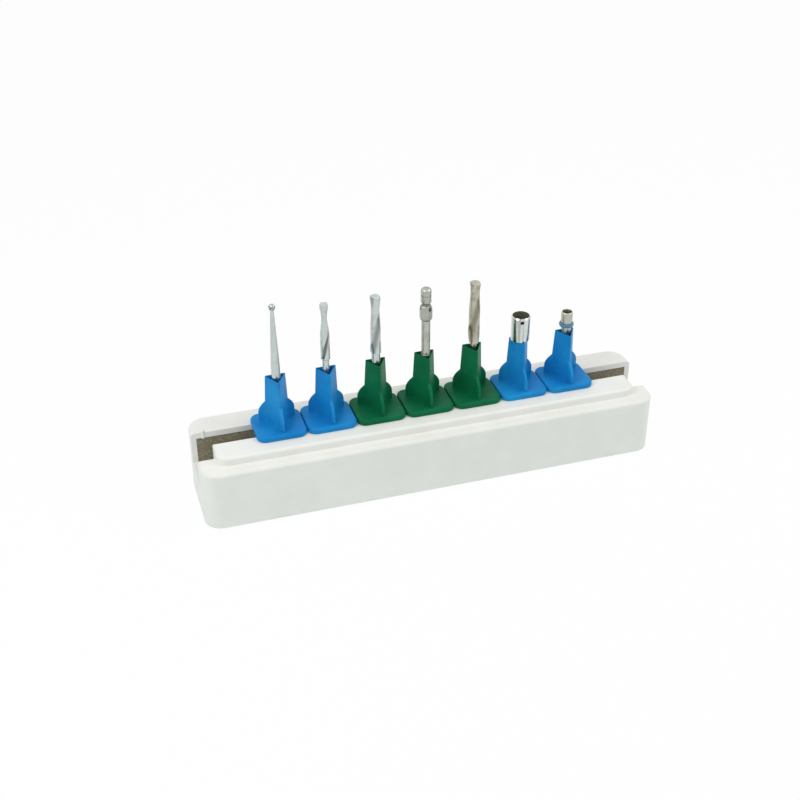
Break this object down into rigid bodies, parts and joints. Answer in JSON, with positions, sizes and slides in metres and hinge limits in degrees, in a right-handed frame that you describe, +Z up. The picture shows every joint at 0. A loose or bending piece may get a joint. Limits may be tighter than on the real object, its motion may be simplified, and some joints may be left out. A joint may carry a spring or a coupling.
{
  "type": "implant instrument organizer",
  "caption": "Bench organizer for rotary implant instruments: a moulded block with a long slot that carries a sliding row of upright holders, each with an instrument.",
  "frame": {"origin": "middle of the block's underside", "axes": "+X along the block to the right, +Y away from the viewer, +Z up"},
  "size_m": [0.1254, 0.0252, 0.0549],
  "materials": {
    "block_white": "satin moulded, warm white",
    "rail_white": "satin moulded, warm white",
    "strip_dark": "grainy, dark brown grey",
    "holder_blue": "moulded, semi gloss",
    "holder_green": "moulded, semi gloss",
    "instrument_steel": "ground",
    "driver_steel": "turned and polished",
    "drill_steel_warm": "ground, slightly straw coloured",
    "punch_steel": "polished",
    "drill_stop_metal": "turned",
    "ring_blue": "anodised blue"
  },
  "bodies": {
    "stand": {"base_block": "block_white", "front_rail": "rail_white", "grip_strip": "strip_dark", "end_stop_peg": "rail_white"},
    "carrier_1": {"holder_1": "holder_blue", "round_bur": "instrument_steel"},
    "carrier_2": {"holder_2": "holder_blue", "pilot_drill": "instrument_steel"},
    "carrier_3": {"holder_3": "holder_green", "twist_drill_short": "instrument_steel"},
    "carrier_4": {"holder_4": "holder_green", "hex_driver": "driver_steel"},
    "carrier_5": {"holder_5": "holder_green", "twist_drill_long": "drill_steel_warm"},
    "carrier_6": {"holder_6": "holder_blue", "tissue_punch": "punch_steel"},
    "carrier_7": {"holder_7": "holder_blue", "drill_stop": "drill_stop_metal", "marking_ring": "ring_blue"}
  },
  "joints": [
    {"name": "slide_1", "type": "slide", "parent": "stand", "child": "carrier_1", "axis": [1, 0, 0], "range_m": [-0.012, 0.0108]},
    {"name": "slide_2", "type": "slide", "parent": "stand", "child": "carrier_2", "axis": [1, 0, 0], "range_m": [-0.012, 0.0108]},
    {"name": "slide_3", "type": "slide", "parent": "stand", "child": "carrier_3", "axis": [1, 0, 0], "range_m": [-0.012, 0.0108]},
    {"name": "slide_4", "type": "slide", "parent": "stand", "child": "carrier_4", "axis": [1, 0, 0], "range_m": [-0.012, 0.0108]},
    {"name": "slide_5", "type": "slide", "parent": "stand", "child": "carrier_5", "axis": [1, 0, 0], "range_m": [-0.012, 0.0108]},
    {"name": "slide_6", "type": "slide", "parent": "stand", "child": "carrier_6", "axis": [1, 0, 0], "range_m": [-0.012, 0.0108]},
    {"name": "slide_7", "type": "slide", "parent": "stand", "child": "carrier_7", "axis": [1, 0, 0], "range_m": [-0.012, 0.0108]}
  ],
  "couplings": [
    {"joint": "slide_1", "follows": "slide_4", "ratio": 1},
    {"joint": "slide_2", "follows": "slide_4", "ratio": 1},
    {"joint": "slide_3", "follows": "slide_4", "ratio": 1},
    {"joint": "slide_5", "follows": "slide_4", "ratio": 1},
    {"joint": "slide_6", "follows": "slide_4", "ratio": 1},
    {"joint": "slide_7", "follows": "slide_4", "ratio": 1}
  ]
}
